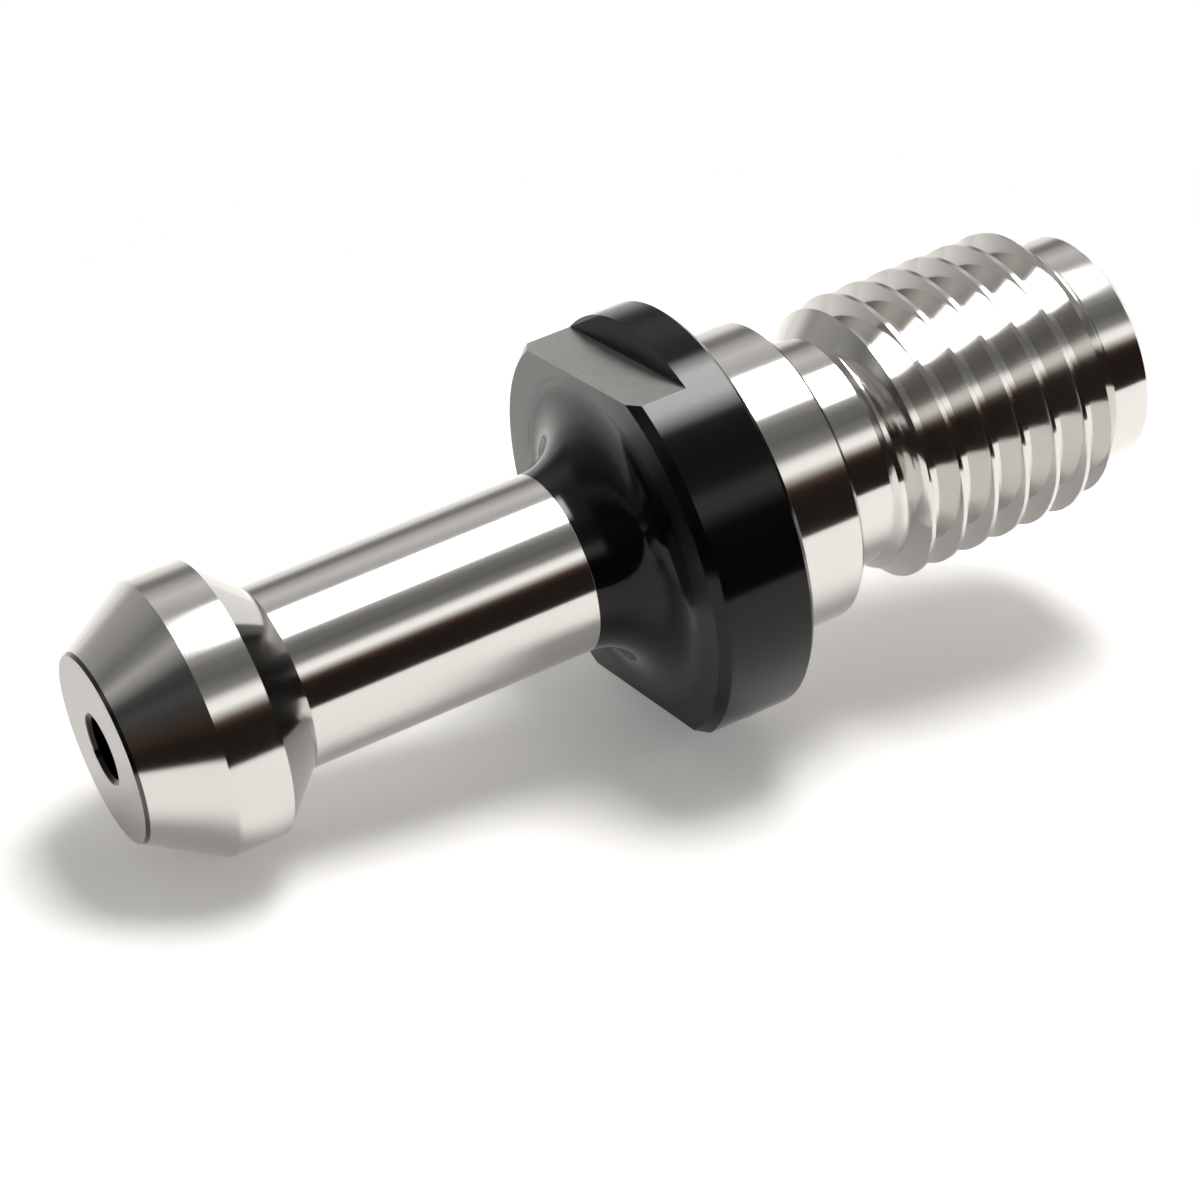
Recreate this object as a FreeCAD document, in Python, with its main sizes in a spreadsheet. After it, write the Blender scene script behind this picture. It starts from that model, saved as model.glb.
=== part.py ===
"""Pull stud for a 40-taper tool holder, turned, milled and ground from one bar.

The stud stands on its threaded end with its axis on +Z and its head up. Inside the body, heights run
from the threaded end. The body is then lowered, so that the flange's seat face lies at Z = 0.
All lengths are in millimetres.
"""
import FreeCAD, Part
import os
import Sketcher

Vector = FreeCAD.Vector
TOUCH = 1e-4  # two positions closer than this are the same place

# name in the sheet, value, what it measures
SIZES = [
    ("head_reach", 35.0, "seat face to the tip of the head"),
    ("shank_length", 25.0, "seat face to the threaded end"),
    ("head_diameter", 15.0, "land of the head"),
    ("land_length", 3.0, "length of that land"),
    ("nose_length", 4.0, "cone from the land to the tip"),
    ("nose_angle", 30.0, "slope of that cone from the axis, degrees"),
    ("nose_break", 0.2, "edge break round the tip"),
    ("grip_angle", 45.0, "slope of the cone that the gripper pulls on, degrees"),
    ("neck_diameter", 10.0, "neck between head and flange"),
    ("neck_fillet", 3.5, "fillet from the neck to the flange"),
    ("flange_diameter", 23.0, "flange"),
    ("flange_thickness", 5.6, "flange, from its seat face"),
    ("flange_front_chamfer", 0.5, "flange edge on the head side"),
    ("flange_seat_chamfer", 0.3, "flange edge on the seat side"),
    ("wrench_width", 19.0, "across the two wrench flats"),
    ("wrench_depth", 3.1, "height of the flats, cut in from the head side"),
    ("pilot_diameter", 17.0, "ground pilot under the seat face"),
    ("pilot_length", 5.0, "length of the pilot"),
    ("pilot_chamfer", 0.25, "lead edge of the pilot"),
    ("relief_diameter", 13.0, "relief between pilot and thread"),
    ("relief_length", 3.0, "length of that relief"),
    ("thread_diameter", 16.0, "metric thread, major diameter"),
    ("thread_pitch", 2.0, "rise of the thread in one turn"),
    ("thread_depth_ratio", 0.6134, "groove depth over pitch"),
    ("thread_crest_ratio", 0.125, "crest flat over pitch"),
    ("flank_angle", 30.0, "slope of a thread flank from the radius, degrees"),
    ("thread_lead_in", 1.0, "how far below the thread its groove starts"),
    ("dog_diameter", 13.0, "plain point under the thread"),
    ("dog_length", 2.5, "length of that point"),
    ("dog_chamfer", 0.4, "lead edge of the point"),
    ("coolant_diameter", 3.5, "coolant hole through the whole stud"),
    ("coolant_chamfer", 0.25, "countersink at both mouths of that hole"),
]

# heights over the threaded end, as the sheet works them out
SEAT = "Sizes.shank_length"
FLANGE_FRONT = "(Sizes.shank_length + Sizes.flange_thickness)"
PILOT_END = "(Sizes.shank_length - Sizes.pilot_length)"
RELIEF_END = "(Sizes.shank_length - Sizes.pilot_length - Sizes.relief_length)"
TIP = "(Sizes.shank_length + Sizes.head_reach)"
LAND_FRONT = "(Sizes.shank_length + Sizes.head_reach - Sizes.nose_length)"
LAND_BACK = "(Sizes.shank_length + Sizes.head_reach - Sizes.nose_length - Sizes.land_length)"


def make_sheet(document):
    """Write the driving sizes into a spreadsheet, one named cell each."""
    sheet = document.addObject("Spreadsheet::Sheet", "Sizes")
    for row, (name, value, meaning) in enumerate(SIZES, start=1):
        sheet.set(f"A{row}", meaning)
        sheet.set(f"B{row}", str(value))
        sheet.setAlias(f"B{row}", name)
    document.recompute()
    return sheet


def size(body, expression):
    """The present value of an expression on the sheet."""
    return float(body.evalExpression(expression))


def origin_feature(body, role):
    """An origin plane or axis of a body, found by its role."""
    return next(item for item in body.Origin.OriginFeatures if item.Role == role)


def new_sketch(body, name, plane, height=None):
    """A sketch on an origin plane, raised along its normal to a height from the sheet."""
    sketch = body.newObject("Sketcher::SketchObject", name)
    sketch.AttachmentSupport = [(origin_feature(body, plane), "")]
    sketch.MapMode = "FlatFace"
    if height:
        sketch.setExpression(".AttachmentOffset.Base.z", height)
    return sketch


def bind(sketch, kind, *where, to):
    """Add a dimension to a sketch and tie it to an expression on the sheet."""
    index = sketch.addConstraint(Sketcher.Constraint(kind, *where, size(sketch, to)))
    sketch.setExpression(f"Constraints[{index}]", to)


def turned_profile(body, name, corners):
    """A closed half section on the XZ plane. A corner is (radius, height); None stands for zero."""
    sketch = new_sketch(body, name, "XZ_Plane")
    places = [Vector(*(size(sketch, text) if text else 0.0 for text in corner), 0) for corner in corners]
    count = len(places)
    for index, place in enumerate(places):
        sketch.addGeometry(Part.LineSegment(place, places[(index + 1) % count]), False)
    for index, (radius, height) in enumerate(corners):
        sketch.addConstraint(Sketcher.Constraint("Coincident", index - 1 if index else count - 1, 2, index, 1))
        for kind, axis, text in (("DistanceX", -2, radius), ("DistanceY", -1, height)):
            if text:
                bind(sketch, kind, -1, 1, index, 1, to=text)
            else:
                sketch.addConstraint(Sketcher.Constraint("PointOnObject", index, 1, axis))
    return sketch


def turn(body, kind, name, corners):
    """Revolve a half section round the axis, as a Revolution that adds or a Groove that cuts."""
    sketch = turned_profile(body, f"{name}Profile", corners)
    feature = body.newObject(kind, name)
    feature.Profile = sketch
    feature.ReferenceAxis = (sketch, ["V_Axis"])
    feature.Angle = 360
    body.Document.recompute()
    return feature


def rim(feature, radius, height):
    """The name of the round edge at a radius and a height."""
    for number, edge in enumerate(feature.Shape.Edges, start=1):
        curve = edge.Curve
        if not isinstance(curve, Part.Circle):
            continue
        if abs(curve.Radius - radius) < TOUCH and abs(curve.Center.z - height) < TOUCH:
            return f"Edge{number}"
    raise ValueError(f"no round edge of radius {radius} at height {height}")


def dress(body, kind, name, prop, amount, diameter, height):
    """Fillet or chamfer the round edge at a diameter and a height by an amount from the sheet."""
    base = body.Tip
    edge = rim(base, size(body, diameter) / 2, size(body, height))
    feature = body.newObject(kind, name)
    feature.Base = (base, [edge])
    feature.setExpression(prop, amount)
    body.Document.recompute()


def turn_blank(body):
    """The outline from the threaded end to the tip, before any edge is broken."""
    lead = "(Sizes.thread_diameter - Sizes.dog_diameter) / 2"
    relief_lead = "(Sizes.thread_diameter - Sizes.relief_diameter) / 2"
    grip_drop = "(Sizes.head_diameter - Sizes.neck_diameter) / 2 / tan(Sizes.grip_angle * 1 deg)"
    tip_radius = "Sizes.head_diameter / 2 - Sizes.nose_length * tan(Sizes.nose_angle * 1 deg)"
    turn(body, "PartDesign::Revolution", "Blank", [
        (None, None),
        ("Sizes.dog_diameter / 2", None),
        ("Sizes.dog_diameter / 2", "Sizes.dog_length"),
        ("Sizes.thread_diameter / 2", f"Sizes.dog_length + {lead}"),
        ("Sizes.thread_diameter / 2", f"{RELIEF_END} - {relief_lead}"),
        ("Sizes.relief_diameter / 2", RELIEF_END),
        ("Sizes.relief_diameter / 2", PILOT_END),
        ("Sizes.pilot_diameter / 2", PILOT_END),
        ("Sizes.pilot_diameter / 2", SEAT),
        ("Sizes.flange_diameter / 2", SEAT),
        ("Sizes.flange_diameter / 2", FLANGE_FRONT),
        ("Sizes.neck_diameter / 2", FLANGE_FRONT),
        ("Sizes.neck_diameter / 2", f"{LAND_BACK} - {grip_drop}"),
        ("Sizes.head_diameter / 2", LAND_BACK),
        ("Sizes.head_diameter / 2", LAND_FRONT),
        (tip_radius, TIP),
        (None, TIP),
    ])


def break_edges(body):
    """The neck's fillet, then the chamfers, each with a size of its own."""
    tip_diameter = "Sizes.head_diameter - 2 * Sizes.nose_length * tan(Sizes.nose_angle * 1 deg)"
    dress(body, "PartDesign::Fillet", "NeckFillet", "Radius", "Sizes.neck_fillet",
          "Sizes.neck_diameter", FLANGE_FRONT)
    chamfers = [
        ("FlangeFrontChamfer", "Sizes.flange_front_chamfer", "Sizes.flange_diameter", FLANGE_FRONT),
        ("FlangeSeatChamfer", "Sizes.flange_seat_chamfer", "Sizes.flange_diameter", SEAT),
        ("PilotChamfer", "Sizes.pilot_chamfer", "Sizes.pilot_diameter", PILOT_END),
        ("DogChamfer", "Sizes.dog_chamfer", "Sizes.dog_diameter", "0"),
        ("NoseBreak", "Sizes.nose_break", tip_diameter, TIP),
    ]
    for name, amount, diameter, height in chamfers:
        dress(body, "PartDesign::Chamfer", name, "Size", amount, diameter, height)


def mill_flats(body):
    """Two opposite wrench flats, milled in from the head side of the flange. A full collar stays behind them."""
    sketch = new_sketch(body, "FlatProfile", "XY_Plane", FLANGE_FRONT)
    inner = size(body, "Sizes.wrench_width / 2")
    outer = size(body, "Sizes.flange_diameter")
    left, right = -outer, outer
    corners = [Vector(left, inner), Vector(right, inner), Vector(right, outer), Vector(left, outer)]
    for index, corner in enumerate(corners):
        sketch.addGeometry(Part.LineSegment(corner, corners[(index + 1) % 4]), False)
    for index in range(4):
        sketch.addConstraint(Sketcher.Constraint("Coincident", index, 2, (index + 1) % 4, 1))
    sketch.addConstraint(Sketcher.Constraint("Symmetric", 0, 1, 0, 2, -2))
    for index, level in ((1, "Vertical"), (2, "Horizontal"), (3, "Vertical")):
        sketch.addConstraint(Sketcher.Constraint(level, index))
    bind(sketch, "DistanceY", -1, 1, 0, 1, to="Sizes.wrench_width / 2")
    bind(sketch, "DistanceY", -1, 1, 2, 1, to="Sizes.flange_diameter")
    bind(sketch, "DistanceX", 0, 1, 0, 2, to="2 * Sizes.flange_diameter")
    pocket = body.newObject("PartDesign::Pocket", "WrenchFlat")
    pocket.Profile = sketch
    pocket.setExpression("Length", "Sizes.wrench_depth")
    body.Document.recompute()
    flats = body.newObject("PartDesign::Mirrored", "WrenchFlats")
    flats.Originals = [pocket]
    flats.MirrorPlane = (origin_feature(body, "XZ_Plane"), [""])
    body.Tip = flats
    body.Document.recompute()


def cut_thread(body):
    """A right-hand V groove that enters under the thread and leaves into the relief."""
    over = "0.05 * Sizes.thread_pitch"  # the cutter stands this far proud of the crests
    slope = "tan(Sizes.flank_angle * 1 deg)"
    start = "(Sizes.dog_length - Sizes.thread_lead_in)"
    depth = "Sizes.thread_depth_ratio * Sizes.thread_pitch"
    root = f"Sizes.thread_diameter / 2 - {depth}"
    top = f"Sizes.thread_diameter / 2 + {over}"
    crest_half = "(1 - Sizes.thread_crest_ratio) * Sizes.thread_pitch / 2"
    root_half = f"({crest_half} - {depth} * {slope})"
    top_half = f"({crest_half} + {over} * {slope})"
    sketch = turned_profile(body, "GrooveProfile", [
        (root, f"{start} - {root_half}"),
        (top, f"{start} - {top_half}"),
        (top, f"{start} + {top_half}"),
        (root, f"{start} + {root_half}"),
    ])
    groove = body.newObject("PartDesign::SubtractiveHelix", "Thread")
    groove.Profile = sketch
    groove.ReferenceAxis = (sketch, ["V_Axis"])
    groove.Mode = "pitch-height-angle"
    groove.HasBeenEdited = True
    groove.LeftHanded = False
    groove.setExpression("Pitch", "Sizes.thread_pitch")
    groove.setExpression("Height", f"{RELIEF_END} + Sizes.relief_length / 2 - {start}")
    body.Document.recompute()


def drill_coolant_hole(body):
    """The hole from end to end, with a small countersink at each mouth."""
    bore = "Sizes.coolant_diameter / 2"
    mouth = f"{bore} + Sizes.coolant_chamfer"
    turn(body, "PartDesign::Groove", "CoolantHole", [
        (None, None),
        (mouth, None),
        (bore, "Sizes.coolant_chamfer"),
        (bore, f"{TIP} - Sizes.coolant_chamfer"),
        (mouth, TIP),
        (None, TIP),
    ])


def pull_stud(document):
    """The whole stud: turned, edges broken, flats milled, thread cut, hole drilled."""
    body = document.addObject("PartDesign::Body", "PullStud")
    body.Label = "pull_stud"
    body.setExpression(".Placement.Base.z", f"-{SEAT}")
    for step in (turn_blank, break_edges, mill_flats, cut_thread, drill_coolant_hole):
        before = body.Shape.Volume if body.Tip else 0.0
        step(body)
        print(f"{step.__name__}: {body.Shape.Volume - before:+.2f} mm3")
    return body


def check(document, bodies):
    """Stop before anything is written if an object failed or a shape is not sound."""
    for item in document.Objects:
        if "Invalid" in item.State or "Error" in item.State:
            raise RuntimeError(f"{item.Label} failed: {item.State}")
    for body in bodies:
        if body.Shape.isNull() or not body.Shape.isValid() or len(body.Shape.Solids) != 1:
            raise RuntimeError(f"{body.Label} is not one sound solid")


def main():
    document = FreeCAD.newDocument("PullStud")
    make_sheet(document)
    bodies = [pull_stud(document)]
    document.recompute()
    check(document, bodies)
    os.makedirs("parts", exist_ok=True)
    for body in bodies:
        body.Shape.exportStep(f"parts/{body.Label}.step")
        box = body.Shape.BoundBox
        print(f"{body.Label}: {body.Shape.Volume:.1f} mm3, {box.XLength:.3f} x {box.YLength:.3f}"
              f" x {box.ZLength:.3f} mm, Z from {box.ZMin:.3f} to {box.ZMax:.3f}")


main()
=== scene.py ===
# %% [markdown]
# # A pull stud for a 40-taper tool holder
#
# A pull stud screws into the small end of a tool holder. The machine's drawbar grips its coned head and pulls the
# holder home. The stud is one piece of hardened steel: ground bright on head, neck, pilot and thread, and black on the
# flange. The solids come first, as a fixed frame, and this script dresses them.

# %% The frame and its box
import math

import bmesh
import bpy
from mathutils import Matrix, Quaternion, Vector


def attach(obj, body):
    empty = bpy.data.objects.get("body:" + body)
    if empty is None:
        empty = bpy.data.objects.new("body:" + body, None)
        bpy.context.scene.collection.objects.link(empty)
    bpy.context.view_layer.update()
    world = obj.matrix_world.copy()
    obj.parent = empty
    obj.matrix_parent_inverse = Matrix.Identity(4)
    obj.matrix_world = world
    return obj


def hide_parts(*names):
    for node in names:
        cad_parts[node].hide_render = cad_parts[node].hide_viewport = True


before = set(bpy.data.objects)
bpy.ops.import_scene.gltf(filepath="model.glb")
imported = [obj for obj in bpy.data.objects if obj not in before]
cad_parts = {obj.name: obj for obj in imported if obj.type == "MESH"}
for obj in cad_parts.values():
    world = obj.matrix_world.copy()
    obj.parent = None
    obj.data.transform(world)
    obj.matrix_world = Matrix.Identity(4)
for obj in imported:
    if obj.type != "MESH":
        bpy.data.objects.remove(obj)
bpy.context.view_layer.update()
MM = 0.001

# %% [markdown]
# ## The stud's sizes
#
# All sizes are in millimetres. Heights run along the stud's axis from the seat face, where the flange rests on the
# holder: the head is above it and the thread below.

# %% Sizes
TIP, TURN = 35.0, 192                 # height of the tip; facets round the axis
HEAD_R, NECK_R, FLANGE_R, PILOT_R = 7.5, 5.0, 11.5, 8.5
THREAD_R, RELIEF_R, DOG_R, BORE_R = 8.0, 6.5, 6.5, 1.75
NOSE, LAND, FLANGE_T, FILLET_R = 4.0, 3.0, 5.6, 3.5
PILOT_LENGTH, RELIEF_LENGTH, DOG_LENGTH, SHANK = 5.0, 3.0, 2.5, 25.0
PITCH, THREAD_DEPTH, CREST, LEAD_IN = 2.0, 2.0 * 0.6134, 2.0 / 8, 1.0
FLAT_OFFSET, FLAT_HEIGHT = 9.5, 3.1
BORE_BREAK, DOG_BREAK, PILOT_BREAK, SEAT_BREAK, FRONT_BREAK = 0.25, 0.4, 0.25, 0.3, 0.5   # edge breaks
NOSE_BREAK, NOSE_BREAK_IN = 0.2, 0.12                                                     # along the axis, across it

# %% [markdown]
# ## The turned blank
#
# A lathe makes the blank, so it is made as a lathe would: half of its outline is drawn once and spun round the axis.
# The outline is closed through the coolant hole, so that the hole needs no cut of its own.

# %% The half outline, from the threaded end up
nose_r = HEAD_R - NOSE * math.tan(math.radians(30))
cone_foot = TIP - NOSE - LAND - (HEAD_R - NECK_R)
relief_top, relief_foot = -PILOT_LENGTH, -PILOT_LENGTH - RELIEF_LENGTH
outline = [
    (BORE_R + BORE_BREAK, -SHANK), (DOG_R - DOG_BREAK, -SHANK), (DOG_R, -SHANK + DOG_BREAK),
    (DOG_R, -SHANK + DOG_LENGTH), (THREAD_R, -SHANK + DOG_LENGTH + THREAD_R - DOG_R),
    (THREAD_R, relief_foot - (THREAD_R - RELIEF_R)), (RELIEF_R, relief_foot), (RELIEF_R, relief_top),
    (PILOT_R - PILOT_BREAK, relief_top), (PILOT_R, relief_top + PILOT_BREAK), (PILOT_R, 0),
    (FLANGE_R - SEAT_BREAK, 0), (FLANGE_R, SEAT_BREAK), (FLANGE_R, FLANGE_T - FRONT_BREAK),
    (FLANGE_R - FRONT_BREAK, FLANGE_T), (NECK_R + FILLET_R, FLANGE_T),
]
above = [(NECK_R, cone_foot), (HEAD_R, TIP - NOSE - LAND), (HEAD_R, TIP - NOSE),
         (nose_r, TIP - NOSE_BREAK), (nose_r - NOSE_BREAK_IN, TIP), (BORE_R + BORE_BREAK, TIP),
         (BORE_R, TIP - BORE_BREAK), (BORE_R, -SHANK + BORE_BREAK)]
print("half outline:", len(outline) + len(above), "corners and a fillet")


# %% [markdown]
# The fillet between flange and neck is a quarter circle. It is a short spin of one point, so the same operator that
# turns the blank also draws its curve.

# %% Spinning the blank
def spun_blank():
    bm = bmesh.new()
    start = [bm.verts.new((r, 0, z)) for r, z in outline]
    arc = bmesh.ops.spin(bm, geom=[start[-1]], cent=(NECK_R + FILLET_R, 0, FLANGE_T + FILLET_R), axis=(0, 1, 0),
                         angle=math.radians(90), steps=16, use_duplicate=False)
    end = [v for v in arc["geom_last"] if isinstance(v, bmesh.types.BMVert)][0]
    rest = [bm.verts.new((r, 0, z)) for r, z in above]
    for a, b in zip(start, start[1:]):
        bm.edges.new((a, b))
    for a, b in zip([end] + rest, rest + [start[0]]):
        bm.edges.new((a, b))
    bmesh.ops.spin(bm, geom=bm.verts[:] + bm.edges[:], cent=(0, 0, 0), axis=(0, 0, 1), angle=math.tau, steps=TURN,
                   use_merge=True)
    bmesh.ops.remove_doubles(bm, verts=bm.verts, dist=1e-4)
    bmesh.ops.recalc_face_normals(bm, faces=bm.faces)
    print("blank's volume, mm3:", round(bm.calc_volume(), 1), "open edges:", sum(e.is_boundary for e in bm.edges))
    return bm


def as_object(bm, name):
    bmesh.ops.scale(bm, vec=(MM, MM, MM), verts=bm.verts)
    mesh = bpy.data.meshes.new(name)
    bm.to_mesh(mesh)
    bm.free()
    obj = bpy.data.objects.new(name, mesh)
    bpy.context.scene.collection.objects.link(obj)
    return obj


stud = as_object(spun_blank(), "turned_stud")
print("blank:", len(stud.data.polygons), "faces")


# %% [markdown]
# ## Thread and wrench flats
#
# The thread is one V groove that winds round the shank, two millimetres for each turn. A trapezoid spun with a step
# along the axis at each facet gives that groove as a solid, and a Boolean takes it away. Its facets meet the blank's
# facets edge to edge, so both shade smoothly.

# %% The groove's cutter
def groove_cutter():
    bm = bmesh.new()
    proud = 0.15
    outer = THREAD_R + proud
    slope = math.tan(math.radians(30))
    root_half = (PITCH - CREST) / 2 - THREAD_DEPTH * slope
    outer_half = (PITCH - CREST) / 2 + proud * slope
    centre = -SHANK + DOG_LENGTH - LEAD_IN
    section = [(THREAD_R - THREAD_DEPTH, -root_half), (outer, -outer_half), (outer, outer_half),
               (THREAD_R - THREAD_DEPTH, root_half)]
    corners = [bm.verts.new((r, 0, centre + z)) for r, z in section]
    ring = [bm.edges.new(pair) for pair in zip(corners, corners[1:] + corners[:1])]
    turns = (relief_foot + RELIEF_LENGTH / 2 - centre) / PITCH
    steps = round(turns * TURN)
    swept = bmesh.ops.spin(bm, geom=corners + ring, cent=(0, 0, 0), axis=(0, 0, 1), dvec=(0, 0, PITCH / TURN),
                           angle=math.tau * steps / TURN, steps=steps, use_duplicate=False)
    last = [v for v in swept["geom_last"] if isinstance(v, bmesh.types.BMVert)]
    for loop in (corners, last):
        bmesh.ops.contextual_create(bm, geom=loop)
    bmesh.ops.recalc_face_normals(bm, faces=bm.faces)
    print("groove:", round(turns, 2), "turns, volume, mm3:", round(bm.calc_volume(), 1))
    return bm


def flat_cutter(side):
    bm = bmesh.new()
    bmesh.ops.create_cube(bm, size=1)
    bmesh.ops.scale(bm, vec=(30, 6, 8), verts=bm.verts)
    bmesh.ops.translate(bm, vec=(0, side * (FLAT_OFFSET + 3), FLANGE_T - FLAT_HEIGHT + 4), verts=bm.verts)
    return bm


def cut(target, cutter):
    tool = as_object(cutter, "cutter")
    job = target.modifiers.new("cut", "BOOLEAN")
    job.operation, job.solver, job.object = "DIFFERENCE", "EXACT", tool
    done = bpy.data.meshes.new_from_object(target.evaluated_get(bpy.context.evaluated_depsgraph_get()))
    target.modifiers.clear()
    target.data = done
    bpy.data.objects.remove(tool)
    return len(done.polygons)


print("after the thread:", cut(stud, groove_cutter()))
for side in (-1, 1):
    print("after a flat:", cut(stud, flat_cutter(side)))

# %% Smooth turned faces, sharp corners
stud.data.shade_smooth()
stud.data.set_sharp_from_angle(angle=math.radians(18))
even = stud.modifiers.new("flat faces stay flat", "WEIGHTED_NORMAL")
even.mode, even.keep_sharp, even.weight = "FACE_AREA", True, 100
bm = bmesh.new()
bm.from_mesh(stud.data)
print("open edges:", sum(e.is_boundary for e in bm.edges), "volume, mm3:", round(bm.calc_volume() / MM ** 3, 1))
bm.free()


# %% [markdown]
# ## Shader arithmetic
#
# A mask such as "inside the flange and not on the seat face" reads best as arithmetic. One small class wraps a socket
# and turns each operator into a Math node. Every other node comes from its node method.

# %% The socket class
class Signal:
    def __init__(self, tree, socket=None):
        self.tree, self.socket = tree, socket

    def node(self, kind, settings=None, sockets=None, out=0):
        made = self.tree.nodes.new(kind)
        for name, value in (settings or {}).items():
            if name == "stops":
                stops = made.color_ramp.elements
                while len(stops) < len(value):
                    stops.new(1.0)
                for stop, (place, colour) in zip(stops, value):
                    stop.position, stop.color = place, (*colour, 1.0)
            else:
                setattr(made, name, value)
        for key, value in (sockets or {}).items():
            if isinstance(value, Signal):
                self.tree.links.new(value.socket, made.inputs[key])
            else:
                made.inputs[key].default_value = value
        return Signal(self.tree, made.outputs[out]) if made.outputs else made

    def math(self, operation, *values):
        return self.node("ShaderNodeMath", {"operation": operation}, dict(enumerate((self, *values))))

    def __add__(self, other): return self.math("ADD", other)
    def __mul__(self, other): return self.math("MULTIPLY", other)
    def __sub__(self, other): return self.math("SUBTRACT", other)
    def __rsub__(self, other): return (self * -1.0) + other
    __radd__, __rmul__ = __add__, __mul__

    def step(self, low, high):
        """0 below low, 1 above high, a straight ramp between them."""
        return self.node("ShaderNodeMapRange", {"clamp": True},
                         {"Value": self, "From Min": low, "From Max": high})

    def blend(self, first, second):
        """The first colour where this is 0, the second where it is 1."""
        return self.node("ShaderNodeMix", {"data_type": "RGBA"}, {0: self, 6: first, 7: second}, out=2)


def new_tree(owner):
    owner.use_nodes = True
    owner.node_tree.nodes.clear()
    return Signal(owner.node_tree)


# %% [markdown]
# ## Ground steel and black oxide
#
# The finishes share one material, because they are on one piece of steel. Masks worked out from the place on the stud
# say where each of them lies. The black covers the flange and its fillet. On the turned front face one side of the
# black is painted lighter grey, as painted light where the lamp falls and painted shade where the neck blocks it, and
# on the milled flats it is a dull grey.

# %% Where each finish, painted light and painted shade lies
finish = bpy.data.materials.new("ground_steel_and_black_oxide")
t = new_tree(finish)
place = t.node("ShaderNodeTexCoord", out="Object")
x, y, z = (t.node("ShaderNodeSeparateXYZ", {}, {0: place}, out=k) for k in range(3))
radius = (x * x + y * y).math("SQRT")


def higher(low, high):
    """0 below the first height, 1 above the second, in millimetres."""
    return z.step(low * MM, high * MM)


def wider(low, high):
    """0 inside the first radius, 1 outside the second, in millimetres."""
    return radius.step(low * MM, high * MM)


black_top, flat_foot = FLANGE_T + FILLET_R, FLANGE_T - FLAT_HEIGHT
black = higher(0.01, 0.03) * (1 - higher(black_top - 0.02, black_top + 0.02))
milled = y.math("ABSOLUTE").math("COMPARE", FLAT_OFFSET * MM, 0.01 * MM) * higher(flat_foot - 0.05, flat_foot)
front_face = higher(FLANGE_T - 0.02, FLANGE_T) * wider(8.2, 9.4)
# Painted light: the front face's black turns lighter grey towards one side, for the lamp on it and the neck's shade
# below.
painted_light_side = (x * 0.87 - y * 0.5).step(-4 * MM, 6 * MM) * front_face
end_face = higher(TIP - 0.01, TIP - 0.005)
# Painted reflection: the tip's edge break is painted near-black, as a dark line round the end face.
painted_dark_edge = higher(TIP - NOSE_BREAK - 0.02, TIP - NOSE_BREAK) * wider(nose_r - 0.13, nose_r - 0.11)
# Painted shade: inside the coolant bore the steel is painted near-black, as the shade deep in the hole.
painted_bore_shade = 1 - wider(BORE_R + 0.2, BORE_R + 0.26)
print("black from 0 to", black_top, "mm, flats from", round(flat_foot, 2), "mm")

# %% [markdown]
# The ground steel is faintly cloudy, and its rings from the lathe and the grinding wheel are a noise that is
# stretched round the axis, so each one depends on the height alone. They only soften the reflections a little along
# the axis. The milled flats have straight cutter marks instead.

# %% The colours
# The second colour here is painted light, the lit side of the front face.
BLACK, PAINTED_LIGHT_BLACK = (0.003, 0.003, 0.0031, 1), (0.24, 0.236, 0.23, 1)
MILLED_LOW, MILLED_HIGH = (0.15, 0.147, 0.143, 1), (0.26, 0.256, 0.25, 1)
GROUND_LOW, GROUND_HIGH = (0.62, 0.603, 0.58, 1), (0.66, 0.647, 0.63, 1)
TURNED_END, PAINTED_DARK_EDGE, UNLIT = (0.46, 0.45, 0.435, 1), (0.09, 0.085, 0.08, 1), (0.03, 0.025, 0.021, 1)

rings = t.node("ShaderNodeCombineXYZ", {}, {"Z": z * 9000.0})
grain = t.node("ShaderNodeTexNoise", {"noise_dimensions": "3D"}, {"Vector": rings, "Scale": 1.0, "Detail": 3.0})
cloud = t.node("ShaderNodeTexNoise", {}, {"Vector": place, "Scale": 220.0, "Detail": 4.0, "Roughness": 0.6})
straight = t.node("ShaderNodeCombineXYZ", {}, {"X": x * 900.0, "Z": z * 7000.0})
marks = t.node("ShaderNodeTexNoise", {}, {"Vector": straight, "Scale": 1.0, "Detail": 2.0})

ground = end_face.blend(cloud.blend(GROUND_LOW, GROUND_HIGH), TURNED_END)
# The steel's edge break takes the painted dark line here.
steel = painted_dark_edge.blend(ground, PAINTED_DARK_EDGE)
oxide = milled.blend(painted_light_side.blend(BLACK, PAINTED_LIGHT_BLACK), marks.blend(MILLED_LOW, MILLED_HIGH))
# The bore takes its painted shade here.
colour = painted_bore_shade.blend(black.blend(steel, oxide), UNLIT)
print("finishes: ground, end face, painted dark edge, black, black with painted light, milled, bore")

# %% The stud's surface
dull = milled + front_face + end_face
bump = t.node("ShaderNodeBump", {}, {"Strength": 0.35, "Distance": 1e-6, "Height": grain})
surface = t.node("ShaderNodeBsdfPrincipled", {}, {
    "Base Color": colour, "Metallic": 1 - black, "Roughness": 0.09 + cloud * 0.03 + dull * 0.28, "IOR": 1.32,
    "Normal": bump})
t.node("ShaderNodeOutputMaterial", {}, {"Surface": surface})
stud.data.materials.clear()
stud.data.materials.append(finish)
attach(stud, "root")
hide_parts("pull_stud")
print("material nodes:", len(finish.node_tree.nodes))


# %% [markdown]
# ## The table
#
# The stud lies on its flange and head. It stands upright in its own frame, so here the table is tilted up against it
# instead. The table touches the flange's front edge and the head's land. Seen from behind it is clear, so that the
# stud shows from every side. Round the stud it fades into the background, and what the steel mirrors of it ends
# sooner on the near side, where the dark room begins.

# %% The table
TABLE_AZIMUTH, TABLE_TILT, TABLE_OFFSET = 172.413, 8.818, 12.17
TABLE_SHIFT = 142                     # how far its middle lies beyond the stud


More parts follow.
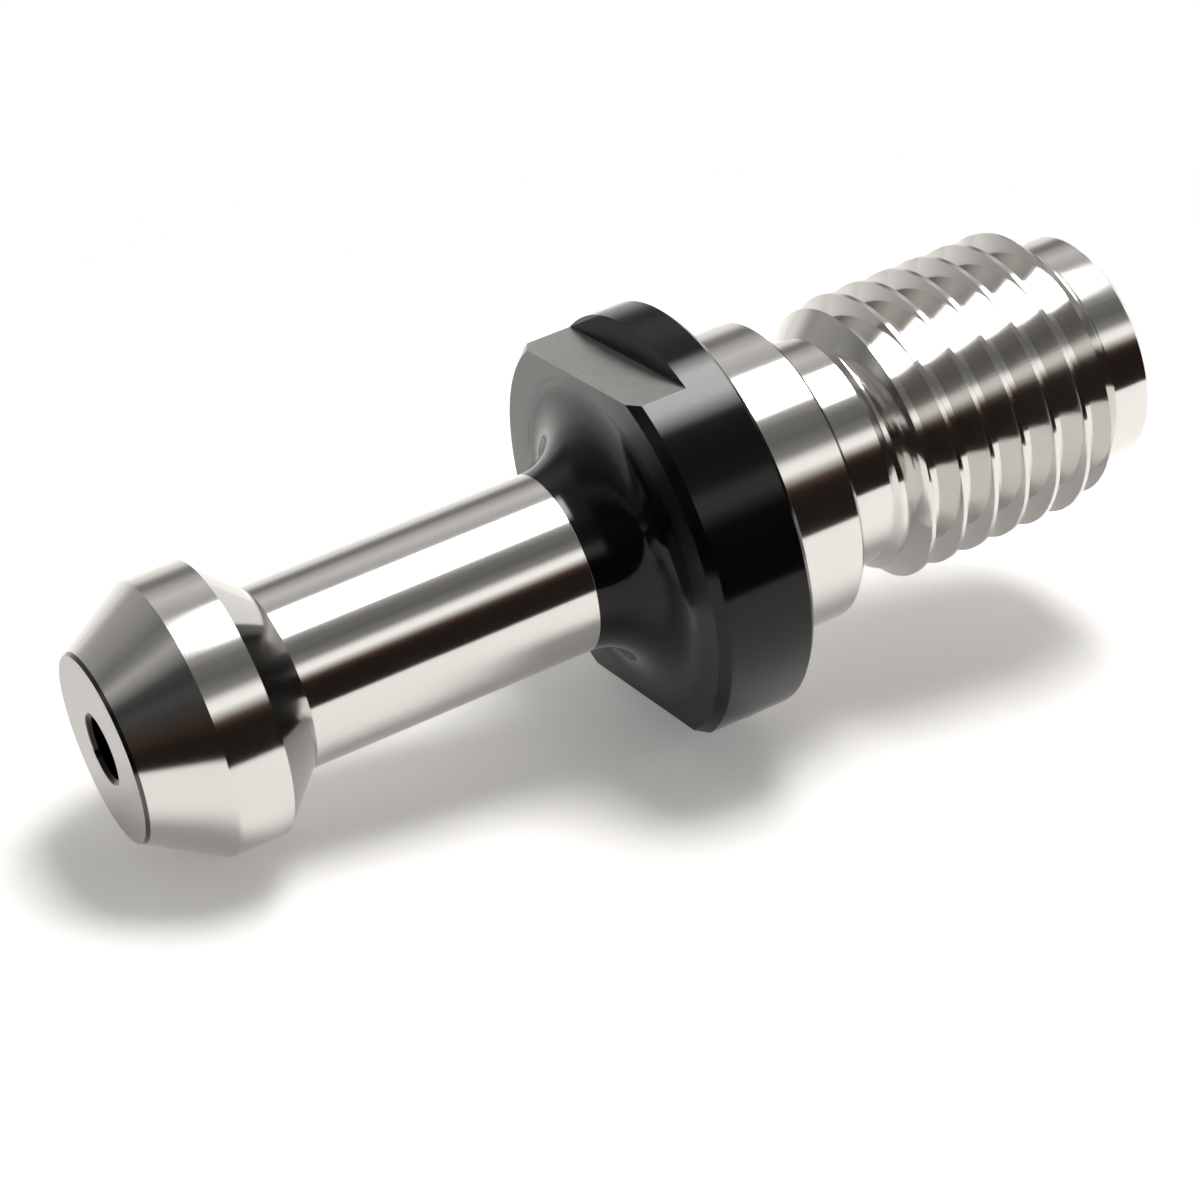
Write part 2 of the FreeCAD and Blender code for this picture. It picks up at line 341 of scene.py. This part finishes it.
def toward(azimuth, elevation=0.0):
    """The direction of an azimuth and elevation: azimuth 0 is -Y and 90 is +X."""
    a, e = math.radians(azimuth), math.radians(elevation)
    return Vector((math.sin(a) * math.cos(e), -math.cos(a) * math.cos(e), math.sin(e)))


down = toward(TABLE_AZIMUTH, TABLE_TILT)
far_side = down.cross(Vector((0, 0, 1))).normalized()
bm = bmesh.new()
bmesh.ops.create_grid(bm, x_segments=1, y_segments=1, size=0.5)
bmesh.ops.scale(bm, vec=(400, 500, 1), verts=bm.verts)
table = as_object(bm, "table")
along = far_side.cross(-down)
turned = Matrix((far_side, along, -down)).transposed().to_4x4()
table.matrix_world = Matrix.Translation(down * TABLE_OFFSET * MM + far_side * TABLE_SHIFT * MM) @ turned
print("table faces", [round(v, 3) for v in -down], "far side", [round(v, 3) for v in far_side])

# %% The table's finish
paper = bpy.data.materials.new("white_table")
t = new_tree(paper)
seen = t.node("ShaderNodeLightPath", out="Is Camera Ray")
mirrored = t.node("ShaderNodeLightPath", out="Is Glossy Ray")
behind = t.node("ShaderNodeNewGeometry", out="Backfacing")
on_table = t.node("ShaderNodeTexCoord", out="Object")
from_stud = t.node("ShaderNodeMapping", {"vector_type": "POINT"}, {
    "Vector": on_table, "Location": (TABLE_SHIFT * MM, -5 * MM, 0)})
reach = t.node("ShaderNodeVectorMath", {"operation": "LENGTH"}, {0: from_stud}, out="Value")
fade = reach.step(45 * MM, 75 * MM)
across, length = (t.node("ShaderNodeSeparateXYZ", {}, {0: on_table}, out=k) for k in (0, 1))
near_edge = (across + length * 0.44).step(-(TABLE_SHIFT + 51) * MM, -(TABLE_SHIFT + 44) * MM)
hidden = (seen * behind.math("MAXIMUM", fade)).math("MAXIMUM", mirrored * (1 - near_edge))

lit = t.node("ShaderNodeBsdfDiffuse", {}, {"Color": (0.8, 0.79, 0.777, 1)})
glow = t.node("ShaderNodeEmission", {}, {
    "Color": (1, 0.985, 0.965, 1), "Strength": (seen + mirrored).math("MINIMUM", 1.0) * 0.2})
face = t.node("ShaderNodeAddShader", {}, {0: lit, 1: glow})
clear = t.node("ShaderNodeBsdfTransparent")
mixed = t.node("ShaderNodeMixShader", {}, {0: hidden, 1: face, 2: clear})
t.node("ShaderNodeOutputMaterial", {}, {"Surface": mixed})
table.data.materials.append(paper)
print("table's material nodes:", len(paper.node_tree.nodes))

# %% [markdown]
# ## The light tent
#
# Bright metal is only as good as what it mirrors. The stud lies in a tube of white cloth with one soft box overhead, a
# narrow strip light beside the camera and a dark room in front. The cloth's brightness is a ramp round the tube, one
# stop for each edge of a light or a dark gap. The camera doesn't see the tube.

# %% The tent's bands, as azimuth and brightness
DARK, BROWN = (0.02, 0.014, 0.011), (0.09, 0.05, 0.03)
KEY = 20.0                            # strength of the strip light
TENT_R, TENT_LENGTH = 300, 800


def grey(level):
    return (level, level * 0.985, level * 0.955)


side_bands = [
    (-90, DARK), (-84, DARK), (-78, BROWN), (-73, grey(0.7)), (-69, grey(1.4)), (-63, grey(1.3)), (-57, grey(0.3)),
    (-46, grey(0.16)), (-34, grey(0.21)), (-26, grey(0.4)), (20, grey(0.52)), (36, grey(0.78)), (48, grey(0.54)),
    (58, grey(0.24)), (66, grey(0.3)), (78, grey(0.95)), (100, grey(1.1)), (170, grey(1.1)), (180, DARK), (270, DARK)]
head_bands = [
    (-90, DARK), (-75, (0.05, 0.034, 0.024)), (-56, grey(0.06)), (-45, grey(0.08)), (-30, grey(0.055)),
    (-21, grey(0.085)), (-10, grey(0.32)), (1, grey(0.52)), (11, grey(0.28)), (21, grey(0.21)), (39, grey(0.35)),
    (56, grey(0.42)), (64, grey(0.5)), (73, grey(0.75)), (81, grey(1.0)), (170, grey(1.0)), (180, DARK), (270, DARK)]

# %% The tent's shape
bm = bmesh.new()
bmesh.ops.create_cone(bm, cap_ends=True, segments=96, radius1=TENT_R, radius2=TENT_R, depth=TENT_LENGTH)
bmesh.ops.reverse_faces(bm, faces=bm.faces)
tent = as_object(bm, "light_tent")
tent.visible_camera = False
print("tent:", len(tent.data.polygons), "faces, bands:", len(side_bands), "and", len(head_bands))

# %% The tent's cloth
cloth = bpy.data.materials.new("tent_cloth")
t = new_tree(cloth)
place = t.node("ShaderNodeTexCoord", out="Object")
height = t.node("ShaderNodeSeparateXYZ", {}, {0: place}, out="Z")
round_axis = t.node("ShaderNodeTexGradient", {"gradient_type": "RADIAL"}, {"Vector": place}, out="Fac")


def turn(azimuth):
    """Where an azimuth lies on the ramp round the tent, from 0 to 1."""
    return (azimuth + 90) / 360


def banded(bands):
    stops = [(turn(azimuth), colour) for azimuth, colour in bands]
    return t.node("ShaderNodeValToRGB", {"stops": stops}, {"Fac": round_axis})


cloth_colour = height.step(70 * MM, 130 * MM).blend(banded(side_bands), banded(head_bands))
key_across = round_axis.step(turn(-25), turn(-13)) * (1 - round_axis.step(turn(3), turn(15)))
key_along = height.step(-190 * MM, -170 * MM) * (1 - height.step(-60 * MM, -40 * MM))
key = key_across * key_along
lamp = t.node("ShaderNodeEmission", {}, {"Color": (1, 0.99, 0.975, 1), "Strength": KEY})
glow = t.node("ShaderNodeEmission", {}, {"Color": cloth_colour, "Strength": 1.0})
lights = t.node("ShaderNodeMixShader", {}, {0: key, 1: glow, 2: lamp})
t.node("ShaderNodeOutputMaterial", {}, {"Surface": lights})
tent.data.materials.append(cloth)
print("cloth's nodes:", len(cloth.node_tree.nodes))

# %% [markdown]
# ## Background, camera and colour
#
# The background is plain white. The camera has a long lens and is rolled, because the stud stands in its own frame
# but lies in the picture.

# %% The world
world = bpy.data.worlds.new("white_room")
bpy.context.scene.world = world
t = new_tree(world)
white = t.node("ShaderNodeBackground", {}, {"Color": (1, 1, 1, 1), "Strength": 1.0})
t.node("ShaderNodeOutputWorld", {}, {"Surface": white})


# %% The camera
AIM = Vector((-1.2525, 2.4148, 7.4491)) * MM
DISTANCE, ROLL = 181.541, -112.752    # mm, degrees
back = toward(-62.585, 20.179)
lens = bpy.data.cameras.new("camera")
lens.lens, lens.sensor_width = 103.28, 36.0
lens.clip_start, lens.clip_end = 0.01, 5.0
camera = bpy.data.objects.new("camera", lens)
bpy.context.scene.collection.objects.link(camera)
upright = (-back).to_track_quat("-Z", "Y")
camera.matrix_world = (Matrix.Translation(AIM + back * DISTANCE * MM)
                       @ (upright @ Quaternion((0, 0, 1), math.radians(ROLL))).to_matrix().to_4x4())
bpy.context.scene.camera = camera
bpy.context.scene.view_settings.view_transform = "Standard"
print("camera at, mm:", [round(v / MM, 1) for v in camera.matrix_world.translation])
